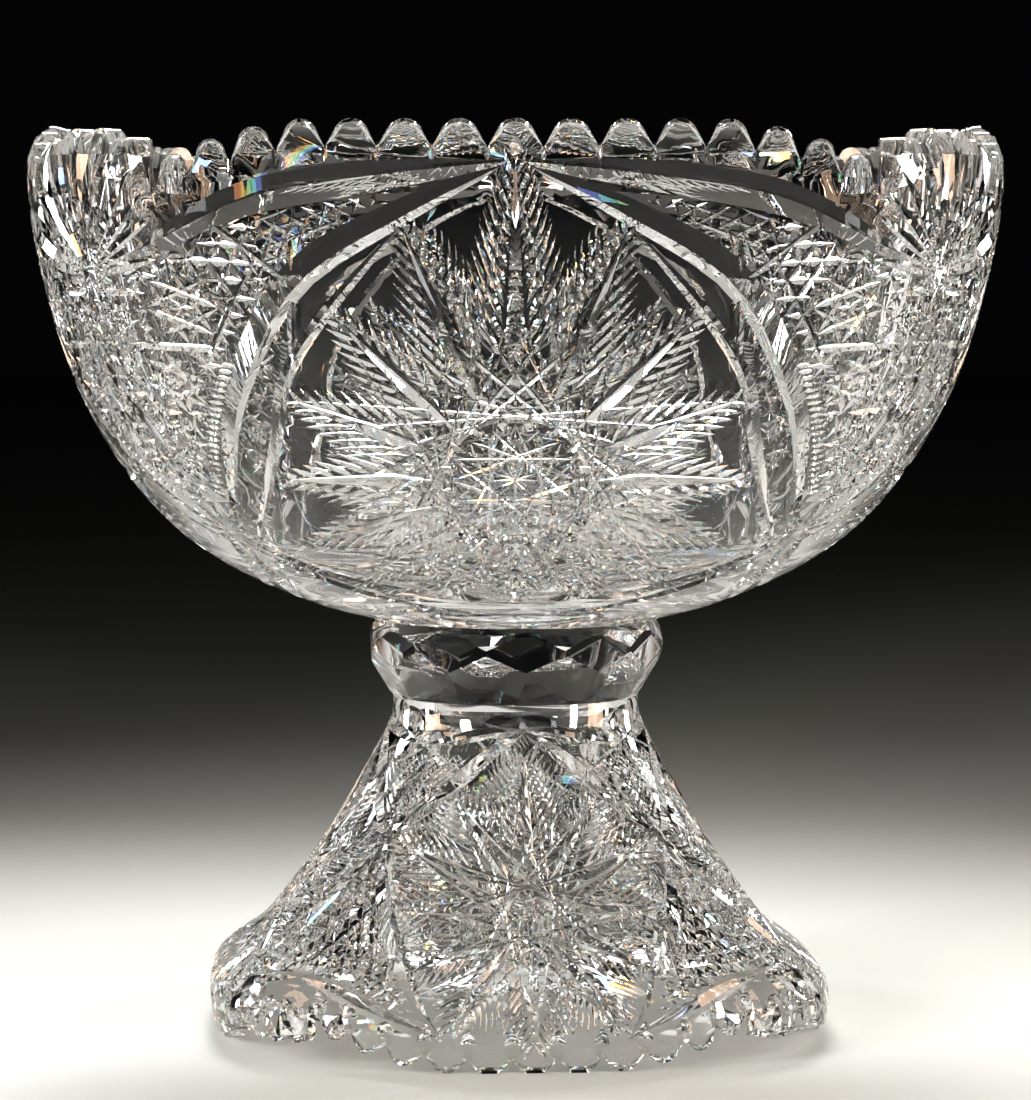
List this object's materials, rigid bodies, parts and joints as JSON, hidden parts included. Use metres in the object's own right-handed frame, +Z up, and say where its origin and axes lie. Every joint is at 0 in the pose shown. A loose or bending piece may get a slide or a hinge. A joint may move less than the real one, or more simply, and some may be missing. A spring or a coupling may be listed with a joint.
{
  "type": "punch bowl",
  "caption": "Deep rounded-square cut crystal bowl with toothed rim and faceted collar foot, resting on a hollow flared pedestal stand.",
  "frame": {"origin": "on the vertical axis of the bowl and stand, at the level the stand's teeth rest on", "axes": "+Z up along the axis the bowl lifts off along; the four flat panels of the bowl face +X, +Y, -X and -Y, and -Y is the panel in front"},
  "size_m": [0.3419, 0.3418, 0.3275],
  "materials": {
    "bowl_crystal": "clear lead crystal, deeply cut and polished outside, smooth inside",
    "stand_crystal": "clear lead crystal, deeply cut and polished outside, smooth inside"
  },
  "bodies": {
    "stand": {"stand": "stand_crystal"},
    "bowl": {"bowl": "bowl_crystal"}
  },
  "joints": [
    {"name": "bowl_lift", "type": "slide", "parent": "stand", "child": "bowl", "axis": [0, 0, 1], "range_m": [0, 0.15]}
  ]
}
